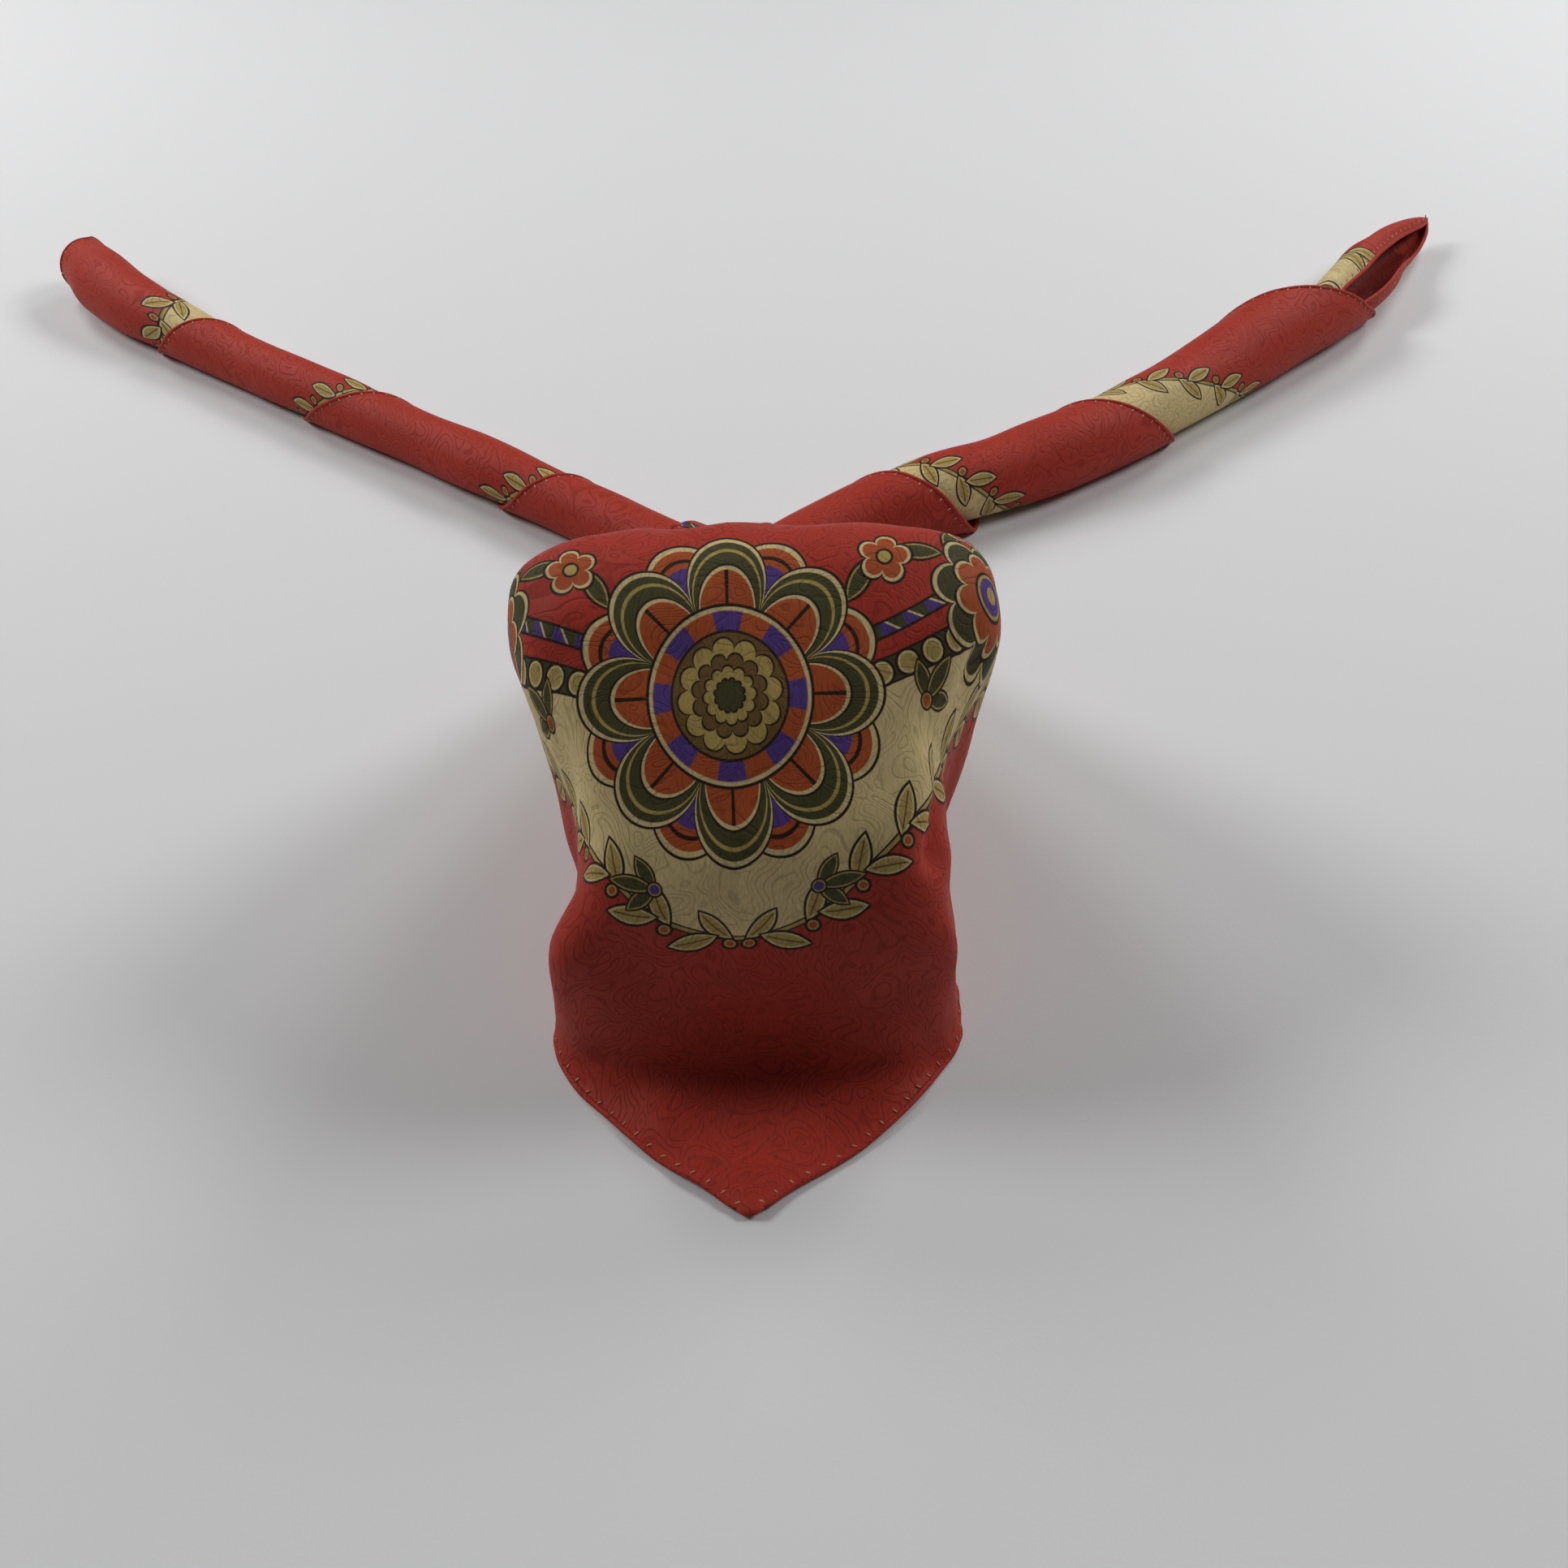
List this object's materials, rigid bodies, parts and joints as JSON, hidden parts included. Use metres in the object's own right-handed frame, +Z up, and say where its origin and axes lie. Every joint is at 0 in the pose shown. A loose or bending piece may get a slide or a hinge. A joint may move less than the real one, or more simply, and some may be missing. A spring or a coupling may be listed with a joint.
{
  "type": "neckerchief",
  "caption": "Printed silk neckerchief standing as worn: a triangle draped forward over a rounded crest, its side corners rolled into two spread tails.",
  "frame": {"origin": "on the table, at the middle of the flat underside of the roll between the two tails", "axes": "+Z up from the table, -Y towards the draped point, +Y towards the tails' ends, +X towards the tail with the open corner"},
  "size_m": [0.5748, 0.4723, 0.1161],
  "materials": {
    "silk_print": "printed silk jacquard, soft satin sheen",
    "silk_inner": "silk, reverse side and rolled layers"
  },
  "bodies": {
    "root": {"front_panel": "silk_print", "middle_roll": "silk_inner", "tail_left_1": "silk_print", "tail_left_2": "silk_print", "tail_left_3": "silk_print", "tail_left_4": "silk_print", "tail_left_core": "silk_inner", "tail_right_1": "silk_print", "tail_right_2": "silk_print", "tail_right_3": "silk_print", "tail_right_core": "silk_inner", "tail_right_corner": "silk_print", "tail_right_corner_core": "silk_inner"}
  },
  "joints": []
}
